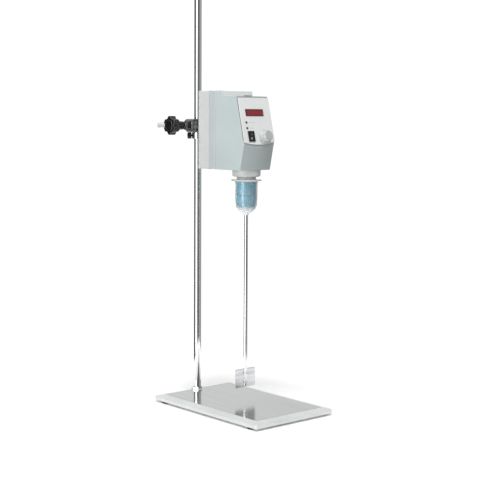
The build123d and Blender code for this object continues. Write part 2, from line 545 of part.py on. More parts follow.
wheel = Pos(SX, SY, 541.2) * extrude(spur_face(GEAR_Z, GEAR_M, 0.25, math.pi / 2), 8.8)
wheel = wheel - turned([(11.5, 548.0), (24.5, 548.0), (24.5, 551.0), (11.5, 551.0)], SX, SY)
wheel = wheel - cyl(SX, SY, 530, 560, 15.0)
save("spindle_gear", one(wheel))
pin_face = spur_face(PINION_Z, GEAR_M, 0.25, -math.pi / 2 + math.pi / PINION_Z)
pinion = Pos(MX, MY, 541.2) * extrude(pin_face, 9.6) - cyl(MX, MY, 530, 560, 6.0)
save("motor_pinion", one(pinion))

disc = turned([(7.5, 553.3), (15.0, 553.3), (15.0, 554.2), (7.5, 554.2)], SX, SY)
for k in range(12):
    a = math.radians(30 * k)
    disc = disc - Pos(SX + 12.6 * math.cos(a), SY + 12.6 * math.sin(a), 553.7) * Rot(0, 0, 30 * k) * Box(2.6, 2.2, 4)
save("encoder_disc", one(disc))
sensor = box(2.0, 9.4, 8.0, 16.0, 551.0, 556.9) - box(4.4, 12.0, 5.0, 20.0, 552.6, 555.0)
save("speed_sensor", one(sensor))

# ------------------------------------------------------------ motor
bracket = box(-18.4, 58.4, 4.0, 82.0, 557.0, 560.0)
for px, py in ((-14.4, 36.0), (54.4, 36.0), (-14.4, 78.0), (54.4, 78.0)):
    bracket = bracket + cyl(px, py, HEAD_Z0 + WALL, 557.0, 7.0)
bracket = bracket - cyl(SX, SY, 550, 565, 19.0) - cyl(MX, MY, 550, 565, 14.0)
save("motor_bracket", one(bracket))

can = turned([(6.6, 560.0), (26.0, 560.0), (26.0, 636.0), (24.0, 636.0), (24.0, 562.0), (6.6, 562.0)], MX, MY)
save("motor_can", can)
cap = turned([(3.05, 636.0), (26.0, 636.0), (26.0, 638.0), (24.0, 639.5), (9.0, 639.5), (9.0, 644.0), (3.05, 644.0)], MX, MY)
save("motor_end_cap", cap)
arma = turned([(0, 541.2), (3.0, 541.2), (3.0, 566.0), (4.0, 566.0), (4.0, 570.0), (19.0, 570.0), (19.0, 622.0),
               (10.0, 622.0), (10.0, 632.0), (3.0, 632.0), (3.0, 642.0), (0, 642.0)], MX, MY)
for k in range(12):
    a = math.radians(30 * k)
    arma = arma - Pos(MX + 18.2 * math.cos(a), MY + 18.2 * math.sin(a), 596.0) * Rot(0, 0, 30 * k) * Box(6.0, 2.2, 60.0)
save("motor_armature", one(arma))
mag = turned([(20.0, 566.0), (23.8, 566.0), (23.8, 626.0), (20.0, 626.0)], MX, MY)
mag = mag - box(MX - 30, MX + 30, MY - 5, MY + 5, 560, 630)
save("motor_magnets", mag)

# ------------------------------------------------------------ power supply
pboard = box(-17.0, -15.4, 84.0, 118.0, 512.0, 650.0)
save("power_board", pboard)
core = box(-15.4, 14.6, 88.0, 116.0, 606.0, 646.0)
core = core - box(-15.0, 14.2, 80.0, 96.0, 614.0, 638.0) - box(-15.0, 14.2, 108.0, 120.0, 614.0, 638.0)
core = core + box(-13.4, 12.6, 90.0, 114.0, 615.0, 637.0)
save("power_transformer", one(core))

# ------------------------------------------------------------ chuck
JAW_TILT = 15.0
JAW_R = 3.0
JAW_ANGLES = (30.0, 150.0, 270.0)
jaw_base_r, jaw_base_z = 6.9, 424.0


def jaw_rod(radius, z_from, z_to):
    """Inclined cylinder in the +X half plane, leaning outwards as it rises."""
    t = math.radians(JAW_TILT)
    d = (math.sin(t), 0.0, math.cos(t))
    s0 = (z_from - jaw_base_z) / math.cos(t)
    s1 = (z_to - jaw_base_z) / math.cos(t)
    sm = 0.5 * (s0 + s1)
    o = (jaw_base_r + sm * d[0], 0.0, jaw_base_z + sm * d[2])
    return Plane(origin=o, x_dir=(0, 1, 0), z_dir=d) * Cylinder(radius, s1 - s0)


body = turned([(BORE_R, 424.0), (8.5, 424.0), (12.0, 427.0), (12.0, 462.0), (14.0, 462.0), (14.0, 477.0), (7.0, 477.0),
               (7.0, 462.0), (BORE_R, 462.0)], SX, SY)
for a in JAW_ANGLES:
    body = body - Pos(SX, SY, 0) * Rot(0, 0, a) * jaw_rod(JAW_R + 0.1, 410.0, 468.0)
body = one(body)
save("chuck_body", body)

for k, a in enumerate(JAW_ANGLES):
    jaw = jaw_rod(JAW_R, 416.0, 460.0)
    jaw = jaw & box(4.05, 40.0, -20, 20, 421.5, 450.0)
    save("jaw_%d" % (k + 1), Pos(SX, SY, 0) * Rot(0, 0, a) * one(jaw))

collar_top = turned([(14.1, 463.0), (18.9, 463.0), (18.9, 449.4), (20.1, 449.4), (20.6, 449.9), (20.9, 474.8), (19.6, 476.6),
                     (14.1, 476.6)], SX, SY)
save("chuck_collar", collar_top)
sleeve = turned([(12.1, 431.0), (12.1, 423.6), (15.2, 421.2), (16.4, 422.0), (20.2, 431.0), (20.6, 433.0), (20.6, 448.3),
                 (20.1, 448.8), (18.9, 448.8), (18.9, 433.5), (17.0, 431.0)], SX, SY)
for k in range(24):
    a = math.radians(15 * k)
    sleeve = sleeve - Pos(SX + 21.25 * math.cos(a), SY + 21.25 * math.sin(a), 440.5) * Cylinder(0.95, 13.0)
save("chuck_sleeve", one(sleeve))
t15 = math.tan(math.radians(JAW_TILT))
r_out = lambda z: jaw_base_r + (z - jaw_base_z) * t15 + JAW_R / math.cos(math.radians(JAW_TILT)) + 0.45
jnut = turned([(r_out(435.0), 435.0), (18.8, 435.0), (18.8, 443.0), (r_out(443.0), 443.0)], SX, SY)
save("jaw_nut", jnut)

# translucent guard: a flange, a slightly tapered cup and a short neck around the shaft
guard = turned([(22.45, 477.5), (22.45, 481.3), (31.6, 481.3), (32.0, 480.9), (32.0, 478.6), (31.4, 478.0), (25.4, 478.0),
                (24.0, 476.4), (23.1, 432.0), (22.2, 427.0), (19.8, 421.0), (15.0, 415.4), (9.2, 411.4), (6.2, 410.0),
                (5.5, 409.0), (5.5, 406.6), (4.6, 406.6), (4.6, 410.2), (8.6, 412.8), (14.0, 416.6), (18.5, 421.8),
                (20.8, 427.4), (21.6, 432.0), (22.45, 470.0)], SX, SY)
save("chuck_guard", one(guard))

# ------------------------------------------------------------ stirring shaft and paddle
PAD_Z0, PAD_Z1 = 41.3, 81.3
PAD_W = 54.0
PAD_T = 2.0
sh = turned([(0, PAD_Z0 + 1.5), (3.2, PAD_Z0 + 1.5), (4.0, PAD_Z0 + 2.3), (4.0, 469.2), (3.2, 470.0), (0, 470.0)], SX, SY)
sh = sh - box(SX - 10, SX + 10, SY - PAD_T / 2 - 0.05, SY + PAD_T / 2 + 0.05, PAD_Z0 - 5, PAD_Z1 + 0.3)
blade = box(SX - PAD_W / 2, SX + PAD_W / 2, SY - PAD_T / 2, SY + PAD_T / 2, PAD_Z0, PAD_Z1)
blade = fillet(blade.edges().filter_by(Axis.Y), 2.0)
blade_screws = []
for z in (PAD_Z0 + 10, PAD_Z1 - 10):
    sh = sh - cyl_y(SY - 10, SY + 10, SX, z, 3.0)
    blade = blade - cyl_y(SY - 10, SY + 10, SX, z, 3.0)
    s = cyl_y(SY - 4.2, SY + 4.4, SX, z, 3.0) + cyl_y(SY - 5.6, SY - 4.1, SX, z, 5.5)
    s = s - box(SX - 2.0, SX + 2.0, SY - 6, SY - 5.0, z - 0.4, z + 0.4)
    blade_screws.append(s)
save("stirrer_shaft", one(sh))
save("paddle_blade", one(blade))
save("blade_screws", several(*blade_screws))

print("files", len([f for f in os.listdir("parts") if f.endswith(".step")]))
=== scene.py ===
import math
import random

import bmesh
import bpy
from mathutils import Matrix, Vector


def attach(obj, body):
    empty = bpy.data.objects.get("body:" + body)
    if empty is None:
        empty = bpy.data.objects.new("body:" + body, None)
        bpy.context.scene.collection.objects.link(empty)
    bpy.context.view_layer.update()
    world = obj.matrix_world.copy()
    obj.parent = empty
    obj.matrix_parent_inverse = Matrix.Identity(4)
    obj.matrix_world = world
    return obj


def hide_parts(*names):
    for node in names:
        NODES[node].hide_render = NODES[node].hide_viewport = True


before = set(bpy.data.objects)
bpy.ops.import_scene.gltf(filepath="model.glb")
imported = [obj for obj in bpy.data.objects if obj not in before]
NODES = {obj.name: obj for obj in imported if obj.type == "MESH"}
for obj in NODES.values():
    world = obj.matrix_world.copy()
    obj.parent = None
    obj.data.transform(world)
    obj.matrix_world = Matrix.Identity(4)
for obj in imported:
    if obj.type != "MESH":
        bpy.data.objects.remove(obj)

random.seed(11)
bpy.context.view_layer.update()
MM = 0.001


# ------------------------------------------------------------------ camera
def make_camera():
    yaw, pitch, roll = (math.radians(a) for a in (40.8687, 5.9029, 0.3100))
    fwd0 = Vector((math.sin(yaw), math.cos(yaw), 0.0))
    right0 = Vector((math.cos(yaw), -math.sin(yaw), 0.0))
    up = Vector((0.0, 0.0, 1.0))
    forward = math.cos(pitch) * fwd0 - math.sin(pitch) * up
    up2 = math.sin(pitch) * fwd0 + math.cos(pitch) * up
    right = math.cos(roll) * right0 + math.sin(roll) * up2
    upward = -math.sin(roll) * right0 + math.cos(roll) * up2
    data = bpy.data.cameras.new("stirrer_camera")
    data.sensor_width = 36.0
    data.sensor_fit = "AUTO"
    data.lens = 88.43
    data.clip_start, data.clip_end = 0.05, 60.0
    cam = bpy.data.objects.new("stirrer_camera", data)
    bpy.context.scene.collection.objects.link(cam)
    m = Matrix.Identity(4)
    for i in range(3):
        m[i][0], m[i][1], m[i][2] = right[i], upward[i], -forward[i]
    m[0][3], m[1][3], m[2][3] = -1.6130, -1.8608, 0.6056
    cam.matrix_world = m
    bpy.context.scene.camera = cam
    return cam


# --------------------------------------------------------------- materials
def srgb(*c):
    return tuple((v / 12.92 if v <= 0.04045 else ((v + 0.055) / 1.055) ** 2.4) for v in c) + (1.0,)


def start_material(name):
    m = bpy.data.materials.new(name)
    m.use_nodes = True
    nt = m.node_tree
    nt.nodes.clear()
    out = nt.nodes.new("ShaderNodeOutputMaterial")
    shader = nt.nodes.new("ShaderNodeBsdfPrincipled")
    nt.links.new(shader.outputs["BSDF"], out.inputs["Surface"])
    return m, nt, shader


def coords(nt, stretch=(1, 1, 1), turn=(0, 0, 0)):
    tc = nt.nodes.new("ShaderNodeTexCoord")
    mp = nt.nodes.new("ShaderNodeMapping")
    mp.inputs["Scale"].default_value = stretch
    mp.inputs["Rotation"].default_value = turn
    nt.links.new(tc.outputs["Object"], mp.inputs["Vector"])
    return mp.outputs["Vector"]


def noise(nt, vector, scale, detail=3.0, rough=0.55):
    n = nt.nodes.new("ShaderNodeTexNoise")
    n.inputs["Scale"].default_value = scale
    n.inputs["Detail"].default_value = detail
    n.inputs["Roughness"].default_value = rough
    nt.links.new(vector, n.inputs["Vector"])
    return n.outputs["Fac"]


def spread(nt, value, low, high, a=0.3, b=0.7):
    r = nt.nodes.new("ShaderNodeMapRange")
    r.inputs["From Min"].default_value = a
    r.inputs["From Max"].default_value = b
    r.inputs["To Min"].default_value = low
    r.inputs["To Max"].default_value = high
    nt.links.new(value, r.inputs["Value"])
    return r.outputs["Result"]


def tones(nt, value, stops):
    r = nt.nodes.new("ShaderNodeValToRGB")
    ramp = r.color_ramp
    while len(ramp.elements) > 2:
        ramp.elements.remove(ramp.elements[-1])
    for i, (p, c) in enumerate(stops):
        e = ramp.elements[i] if i < 2 else ramp.elements.new(p)
        e.position = p
        e.color = c
    nt.links.new(value, r.inputs["Fac"])
    return r.outputs["Color"]


def mixed(nt, fac, a, b, kind="MIX"):
    m = nt.nodes.new("ShaderNodeMix")
    m.data_type = "RGBA"
    m.blend_type = kind
    for socket, v in ((m.inputs[0], fac), (m.inputs[6], a), (m.inputs[7], b)):
        if isinstance(v, (int, float, tuple)):
            socket.default_value = v
        else:
            nt.links.new(v, socket)
    return m.outputs[2]


def surface(name, low, high, rough=(0.35, 0.45), metal=0.0, tone=25.0, tone_stretch=(1, 1, 1), grain=900.0,
            grain_stretch=(1, 1, 1), bump=0.2, depth=0.0001, spec=0.5, coat=0.0, coat_rough=0.1, smudge=9.0,
            ior=1.5, edge_tone=None, turn=(0, 0, 0), detail=3.0):
    """Colour that drifts between two tones, roughness that drifts on its own scale, and a fine relief."""
    m, nt, s = start_material(name)
    tone_fac = noise(nt, coords(nt, tone_stretch, turn), tone, 4.0)
    colour = tones(nt, tone_fac, [(0.34, low), (0.66, high)])
    fine = noise(nt, coords(nt, grain_stretch, turn), grain, detail)
    # lighter tone on sharp convex edges, in noisy patches
    if edge_tone:
        geo = nt.nodes.new("ShaderNodeNewGeometry")
        edge = spread(nt, geo.outputs["Pointiness"], 0.0, 1.0, 0.52, 0.60)
        patch = spread(nt, noise(nt, coords(nt), 140.0, 3.0), 0.2, 1.0, 0.42, 0.62)
        mul = nt.nodes.new("ShaderNodeMath")
        mul.operation = "MULTIPLY"
        nt.links.new(edge, mul.inputs[0])
        nt.links.new(patch, mul.inputs[1])
        colour = mixed(nt, mul.outputs[0], colour, edge_tone)
    nt.links.new(colour, s.inputs["Base Color"])
    worn = noise(nt, coords(nt), smudge, 3.0)
    nt.links.new(spread(nt, worn, rough[0], rough[1]), s.inputs["Roughness"])
    b = nt.nodes.new("ShaderNodeBump")
    b.inputs["Strength"].default_value = bump
    b.inputs["Distance"].default_value = depth
    nt.links.new(fine, b.inputs["Height"])
    nt.links.new(b.outputs["Normal"], s.inputs["Normal"])
    s.inputs["Metallic"].default_value = metal
    s.inputs["Specular IOR Level"].default_value = spec
    s.inputs["IOR"].default_value = ior
    s.inputs["Coat Weight"].default_value = coat
    s.inputs["Coat Roughness"].default_value = coat_rough
    return m


def paint_with_painted_light(name, main, painted_tones, painted_region, rough=(0.42, 0.54), grain=1300.0, bump=0.3):
    """Textured paint in one tone pair, with a second pair inside a region, where it is painted light on a lit face or
    painted shade in a recess: {axis: (low, high)} in metres.
    """
    m, nt, s = start_material(name)
    v = coords(nt)
    sep = nt.nodes.new("ShaderNodeSeparateXYZ")
    nt.links.new(v, sep.inputs[0])
    mask = None
    for axis, (low, high) in painted_region.items():
        for edge, sign in ((low, 1), (high, -1)):
            if edge is None:
                continue
            r = spread(nt, sep.outputs[axis], 0.0 if sign > 0 else 1.0, 1.0 if sign > 0 else 0.0, edge - 0.00005, edge + 0.00005)
            if mask is None:
                mask = r
            else:
                mul = nt.nodes.new("ShaderNodeMath")
                mul.operation = "MULTIPLY"
                nt.links.new(mask, mul.inputs[0])
                nt.links.new(r, mul.inputs[1])
                mask = mul.outputs[0]
    drift = noise(nt, v, 10, 4.0)
    a = tones(nt, drift, [(0.34, main[0]), (0.66, main[1])])
    b = tones(nt, drift, [(0.34, painted_tones[0]), (0.66, painted_tones[1])])
    nt.links.new(mixed(nt, mask, a, b), s.inputs["Base Color"])
    nt.links.new(spread(nt, noise(nt, v, 14, 3.0), rough[0], rough[1]), s.inputs["Roughness"])
    bp = nt.nodes.new("ShaderNodeBump")
    bp.inputs["Strength"].default_value = bump
    bp.inputs["Distance"].default_value = 0.00012
    nt.links.new(noise(nt, v, grain, 3.0), bp.inputs["Height"])
    nt.links.new(bp.outputs["Normal"], s.inputs["Normal"])
    s.inputs["Specular IOR Level"].default_value = 0.4
    return m


def dress(node, *mats):
    o = NODES[node]
    if len(o.material_slots) == 0:
        o.data.materials.append(mats[0])
    for i, ms in enumerate(o.material_slots):
        ms.material = mats[min(i, len(mats) - 1)]


M = {}
# base plate: satin bright border, brushed inlaid sheet
M["plate"] = surface("plate_border", srgb(.85, .86, .86), srgb(.89, .90, .90), rough=(0.3, 0.4), metal=0.3, tone=14,
                     grain=1500, grain_stretch=(1.0, 0.06, 1.0), bump=0.12, depth=0.00005, smudge=12)
M["sheet"] = surface("brushed_sheet", srgb(.79, .80, .80), srgb(.825, .835, .835), rough=(0.12, 0.19), metal=1.0, tone=120,
                     tone_stretch=(1.0, 0.02, 1.0), grain=2600, grain_stretch=(1.0, 0.02, 1.0), bump=0.10, depth=0.00003,
                     smudge=6)
M["rubber"] = surface("foot_rubber", srgb(.045, .045, .045), srgb(.08, .08, .08), rough=(0.7, 0.85), grain=1400, bump=0.4,
                      depth=0.00008, tone=90)
M["zinc"] = surface("zinc_fastener", srgb(.86, .865, .865), srgb(.92, .92, .915), rough=(0.34, 0.46), metal=0.6, grain=1200,
                    bump=0.15, depth=0.00004, tone=160)
M["nut"] = surface("turned_nut", srgb(.72, .73, .74), srgb(.86, .86, .86), rough=(0.16, 0.26), metal=1.0, grain=1800,
                   grain_stretch=(0.2, 0.2, 4.0), bump=0.16, depth=0.00004, tone=90)
M["rod"] = surface("polished_rod", srgb(.87, .875, .88), srgb(.91, .912, .917), rough=(0.07, 0.09), metal=1.0, tone=90,
                   tone_stretch=(1, 1, 0.03), grain=300, grain_stretch=(1.0, 1.0, 0.01), bump=0.004, depth=0.00001,
                   smudge=12, detail=0.0)
M["satin"] = surface("satin_arm", srgb(.90, .905, .905), srgb(.95, .95, .948), rough=(0.22, 0.3), metal=0.45, grain=1200,
                     grain_stretch=(1.0, 0.02, 1.0), bump=0.05, depth=0.00002, tone=120)
M["ground"] = surface("ground_shaft", srgb(.84, .845, .85), srgb(.89, .892, .897), rough=(0.11, 0.15), metal=1.0, tone=120,
                      tone_stretch=(1, 1, 0.05), grain=500, grain_stretch=(1.0, 1.0, 0.02), bump=0.012, depth=0.00001,
                      smudge=14, detail=0.0)
M["blade"] = surface("blade_steel", srgb(.76, .77, .78), srgb(.86, .865, .87), rough=(0.17, 0.27), metal=1.0, tone=150,
                     tone_stretch=(0.08, 1, 1), grain=2600, grain_stretch=(0.03, 1.0, 1.0), bump=0.10, depth=0.00003,
                     smudge=30)
M["brass"] = surface("turned_brass", srgb(.72, .58, .32), srgb(.82, .68, .40), rough=(0.2, 0.32), metal=1.0, grain=1600,
                     bump=0.12, depth=0.00004, tone=120)
M["cast"] = surface("black_cast", srgb(.05, .052, .055), srgb(.085, .087, .09), rough=(0.36, 0.48), grain=1100, bump=0.25,
                    depth=0.00010, tone=60, edge_tone=srgb(.50, .51, .52), smudge=40, spec=0.4, coat=0.6, coat_rough=0.13)
M["black"] = surface("black_plastic", srgb(.03, .03, .032), srgb(.055, .055, .058), rough=(0.3, 0.42), grain=1600, bump=0.15,
                     depth=0.00007, tone=70, smudge=45, spec=0.3, coat=0.6, coat_rough=0.09)
M["knob"] = surface("black_knob", srgb(.028, .028, .03), srgb(.055, .055, .058), rough=(0.26, 0.38), grain=1500, bump=0.12,
                    depth=0.00005, tone=60, edge_tone=srgb(.26, .26, .27), smudge=50, spec=0.3, coat=0.55, coat_rough=0.09)
# head: textured paint, green grey in front, lighter behind
M["shell"] = surface("green_grey_paint", srgb(.675, .715, .715), srgb(.695, .735, .733), rough=(0.42, 0.54), grain=1300,
                     bump=0.32, depth=0.00012, tone=10, spec=0.45, smudge=14)
M["shell_light"] = surface("light_grey_paint", srgb(.735, .745, .74), srgb(.755, .765, .76), rough=(0.42, 0.54), grain=1300,
                           bump=0.28, depth=0.0001, tone=10, spec=0.45, smudge=14)
GREEN = (srgb(.675, .715, .715), srgb(.695, .735, .733))
LIGHT = (srgb(.735, .745, .74), srgb(.755, .765, .76))
# front shell: green grey, with a lighter tone painted on the raised block's top and front faces (above z 653.6 mm, its
# left edge kept green) as painted light where light falls on them
M["front_shell"] = paint_with_painted_light("front_shell_paint_with_painted_light", GREEN, (srgb(.845, .86, .855), srgb(.86, .875, .87)),
                              {"Z": (0.6536, None), "X": (-0.0195, None)})
# rear shell: light grey, with a darker green-grey band at Y 65.9 to 84.1 mm as painted shade in the recessed band; the
# light strip left between it and the seam reads as a painted highlight line
M["rear_shell"] = paint_with_painted_light("rear_shell_paint_with_painted_shade", LIGHT, (srgb(.665, .695, .70), srgb(.685, .715, .72)),
                             {"Y": (0.0659, 0.0841)})
M["nose"] = surface("nose_paint", srgb(.73, .75, .745), srgb(.77, .785, .78), rough=(0.34, 0.46), grain=1400, bump=0.2,
                    depth=0.0001, tone=18, smudge=30)
M["oxide"] = surface("black_oxide", srgb(.14, .14, .15), srgb(.21, .21, .22), rough=(0.3, 0.42), metal=0.9, grain=1500,
                     bump=0.15, depth=0.00005, tone=150)
M["panel"] = surface("panel_film", srgb(.895, .90, .90), srgb(.91, .915, .912), rough=(0.26, 0.36), grain=2200, bump=0.12,
                     depth=0.00004, tone=22, coat=0.15, coat_rough=0.2, smudge=25)
M["window"] = surface("window_red", srgb(.46, .085, .11), srgb(.52, .10, .125), rough=(0.07, 0.14), grain=700, bump=0.03,
                      depth=0.00003, tone=60, coat=0.6, coat_rough=0.05, smudge=60)
M["bezel"] = surface("bezel_plastic", srgb(.20, .05, .06), srgb(.26, .07, .08), rough=(0.2, 0.3), grain=1500, bump=0.1,
                     depth=0.00004, tone=80, spec=0.4)
M["segment"] = surface("segment_off", srgb(.60, .17, .18), srgb(.64, .19, .20), rough=(0.22, 0.3), grain=1500, bump=0.05,
                       depth=0.00002, tone=200)
M["led"] = surface("led_epoxy", srgb(.13, .15, .13), srgb(.19, .22, .19), rough=(0.1, 0.18), grain=900, bump=0.05,
                   depth=0.00003, tone=300, coat=0.5, coat_rough=0.06)
M["dial"] = surface("dial_plastic", srgb(.68, .705, .70), srgb(.72, .74, .735), rough=(0.28, 0.4), grain=1700, bump=0.15,
                    depth=0.00005, tone=60, smudge=60)
M["print"] = surface("printed_mark", srgb(.30, .33, .34), srgb(.36, .39, .40), rough=(0.4, 0.5), grain=2500, bump=0.1,
                     depth=0.00001, tone=400)
M["print_pale"] = surface("printed_legend", srgb(.74, .76, .765), srgb(.79, .81, .81), rough=(0.4, 0.5), grain=2500,
                          bump=0.1, depth=0.00001, tone=400)
# white I and O marks on the rocker, which also serve as a painted highlight on it
M["mark_white"] = surface("switch_mark_and_painted_highlight", srgb(.80, .81, .80), srgb(.88, .88, .87), rough=(0.35, 0.45), grain=2500, bump=0.1,
                          depth=0.00001, tone=400)
# dark strip round the panel: painted shade along its edges
M["seal"] = surface("panel_seal", srgb(.20, .21, .21), srgb(.27, .28, .28), rough=(0.5, 0.62), grain=1500, bump=0.15,
                    depth=0.00004, tone=120, spec=0.3)
M["motor"] = surface("motor_can", srgb(.52, .53, .54), srgb(.60, .61, .62), rough=(0.3, 0.42), metal=0.9, grain=1300,
                     grain_stretch=(1, 1, 0.2), bump=0.12, depth=0.00005, tone=60)
M["gear"] = surface("gear_steel", srgb(.60, .60, .60), srgb(.70, .70, .69), rough=(0.25, 0.38), metal=1.0, grain=1500,
                    bump=0.15, depth=0.00005, tone=120)
M["magnet"] = surface("ferrite", srgb(.17, .17, .18), srgb(.23, .23, .24), rough=(0.55, 0.7), grain=1300, bump=0.3,
                      depth=0.0001, tone=80)


def board_material():
    """Solder mask with faint copper routes."""
    m, nt, s = start_material("solder_mask")
    v = coords(nt, (1, 1, 1))
    base = tones(nt, noise(nt, v, 60, 3.0), [(0.35, srgb(.05, .27, .15)), (0.65, srgb(.08, .34, .19))])
    cell = nt.nodes.new("ShaderNodeTexVoronoi")
    cell.feature = "DISTANCE_TO_EDGE"
    cell.inputs["Scale"].default_value = 260.0
    nt.links.new(v, cell.inputs["Vector"])
    route = spread(nt, cell.outputs["Distance"], 1.0, 0.0, 0.02, 0.05)
    colour = mixed(nt, route, base, srgb(.18, .47, .27))
    nt.links.new(colour, s.inputs["Base Color"])
    nt.links.new(spread(nt, noise(nt, v, 90, 2.0), 0.24, 0.4), s.inputs["Roughness"])
    b = nt.nodes.new("ShaderNodeBump")
    b.inputs["Strength"].default_value = 0.3
    b.inputs["Distance"].default_value = 0.00005
    nt.links.new(route, b.inputs["Height"])
    nt.links.new(b.outputs["Normal"], s.inputs["Normal"])
    s.inputs["Coat Weight"].default_value = 0.3
    return m


def winding_material():
    """Lacquered turns that run round the bobbin."""
    m, nt, s = start_material("lacquered_winding")
    w = nt.nodes.new("ShaderNodeTexWave")
    w.bands_direction = "Z"
    w.inputs["Scale"].default_value = 420.0
    w.inputs["Distortion"].default_value = 0.6
    nt.links.new(coords(nt), w.inputs["Vector"])
    colour = tones(nt, w.outputs["Fac"], [(0.1, srgb(.42, .22, .12)), (0.8, srgb(.75, .45, .28))])
    nt.links.new(colour, s.inputs["Base Color"])
    nt.links.new(spread(nt, noise(nt, coords(nt), 80, 2.0), 0.25, 0.4), s.inputs["Roughness"])
    b = nt.nodes.new("ShaderNodeBump")
    b.inputs["Strength"].default_value = 0.4
    b.inputs["Distance"].default_value = 0.0002
    nt.links.new(w.outputs["Fac"], b.inputs["Height"])
    nt.links.new(b.outputs["Normal"], s.inputs["Normal"])
    s.inputs["Metallic"].default_value = 0.7
    return m


def clear_material(name, low, high, transmission, rough, ior=1.45, tone=40.0, haze=None):
    """Clear plastic or glass. haze: (z low, z high, [(place, transmission)...]) makes it milky in part."""
    m, nt, s = start_material(name)
    nt.links.new(tones(nt, noise(nt, coords(nt), tone, 3.0), [(0.3, low), (0.7, high)]), s.inputs["Base Color"])
    nt.links.new(spread(nt, noise(nt, coords(nt), 35, 2.0), rough[0], rough[1]), s.inputs["Roughness"])
    b = nt.nodes.new("ShaderNodeBump")
    b.inputs["Strength"].default_value = 0.03
    b.inputs["Distance"].default_value = 0.00005
    nt.links.new(noise(nt, coords(nt), 260, 2.0), b.inputs["Height"])
    nt.links.new(b.outputs["Normal"], s.inputs["Normal"])
    if haze:
        sep = nt.nodes.new("ShaderNodeSeparateXYZ")
        nt.links.new(coords(nt), sep.inputs[0])
        place = spread(nt, sep.outputs["Z"], 0.0, 1.0, haze[0], haze[1])
        nt.links.new(tones(nt, place, [(q, (v, v, v, 1.0)) for q, v in haze[2]]), s.inputs["Transmission Weight"])
    else:
        s.inputs["Transmission Weight"].default_value = transmission
    s.inputs["IOR"].default_value = ior
    return m


M["board"] = board_material()
M["winding"] = winding_material()
M["glass"] = clear_material("fuse_glass", srgb(.88, .92, .92), srgb(.94, .96, .96), 0.9, (0.03, 0.08))
M["guard"] = clear_material("guard_plastic", srgb(.97, .985, .99), srgb(.985, .995, .998), 0.89, (0.03, 0.07), ior=1.38,
                            haze=(0.405, 0.483, [(0.0, 0.22), (1.0, 0.55), (0.14, 0.30), (0.28, 0.86), (0.90, 0.88), (0.95, 0.58)]))
M["blue"] = surface("chuck_blue", srgb(.01, .65, .78), srgb(.05, .71, .84), rough=(0.2, 0.32), grain=1500, bump=0.12,
                    depth=0.00005, tone=55, coat=0.3, coat_rough=0.1, smudge=70)

for node, key in {
    "base_plate": "plate", "plate_cover": "sheet", "rubber_feet": "rubber", "foot_screws": "zinc", "rod_lock_nut": "nut",
    "stand_rod": "rod", "stop_collar": "nut", "collar_screw_tip": "brass", "collar_thumbscrew": "black",
    "boss_head": "cast", "rod_clamp_pad": "brass", "arm_clamp_pad": "brass", "rod_clamp_knob": "knob",
    "arm_clamp_knob": "knob", "rod_clamp_screw": "zinc", "arm_clamp_screw": "zinc", "front_shell": "front_shell",
    "rear_shell": "rear_shell", "rear_cover": "shell_light", "housing_screws": "oxide", "support_rod": "satin",
    "socket_screws": "oxide", "control_panel": "panel", "display_window": "window", "status_leds": "led",
    "control_board": "board", "switch_housing": "black", "power_rocker": "black", "speed_pot": "motor",
    "pot_shaft": "ground", "speed_knob": "dial", "mains_inlet": "black", "inlet_pins": "brass", "fuse_drawer": "black",
    "fuse": "glass", "power_board": "board", "power_transformer": "winding", "spindle_nose": "nose",
    "spindle_bearings": "gear", "motor_bracket": "motor", "motor_can": "motor", "motor_end_cap": "motor",
    "motor_magnets": "magnet", "speed_sensor": "black", "motor_armature": "winding", "motor_pinion": "brass",
    "spindle": "ground", "spindle_gear": "gear", "encoder_disc": "oxide", "chuck_body": "ground", "chuck_collar": "blue",
    "chuck_sleeve": "blue", "jaw_nut": "gear", "jaw_1": "ground", "jaw_2": "ground", "jaw_3": "ground",
    "stirrer_shaft": "ground", "paddle_blade": "blade", "blade_screws": "zinc", "chuck_guard": "guard",
}.items():
    dress(node, M[key])


# ------------------------------------------------------------ mesh helpers
def finish_mesh(name, bm, material, matrix=None, sharp=38.0):
    bmesh.ops.remove_doubles(bm, verts=bm.verts, dist=1e-7)
    bmesh.ops.recalc_face_normals(bm, faces=bm.faces)
    limit = math.radians(sharp)
    for f in bm.faces:
        f.smooth = True
    for e in bm.edges:
        if len(e.link_faces) == 2 and e.calc_face_angle(0.0) > limit:
            e.smooth = False
    me = bpy.data.meshes.new(name)
    bm.to_mesh(me)
    bm.free()
    me.materials.append(material)
    o = bpy.data.objects.new(name, me)
    bpy.context.scene.collection.objects.link(o)
    if matrix is not None:
        o.matrix_world = matrix
    return o


def ringed(rings, seg, radius):
    """A body of revolution along +Z whose rings may be scalloped: radius(ring value, angle) gives each point's distance.
    A ring value of 0 is a pole. The first and last rings are joined to each other when both are open."""
    bm = bmesh.new()
    loops = []
    for r, h, k in rings:
        if r == 0:
            loops.append([bm.verts.new((0, 0, h * MM))])
        else:
            loop = []
            for i in range(seg):
                a = 2 * math.pi * i / seg
                d = radius(r, k, a) * MM
                loop.append(bm.verts.new((d * math.cos(a), d * math.sin(a), h * MM)))
            loops.append(loop)
    pairs = list(zip(loops[:-1], loops[1:]))
    if len(loops[0]) > 1 and len(loops[-1]) > 1:
        pairs.append((loops[-1], loops[0]))
    for a, b in pairs:
        for i in range(seg):
            j = (i + 1) % seg
            if len(a) == 1:
                bm.faces.new((a[0], b[i], b[j]))
            elif len(b) == 1:
                bm.faces.new((a[i], a[j], b[0]))
            else:
                bm.faces.new((a[i], a[j], b[j], b[i]))
    return bm


def plain(r, k, a):
    return r


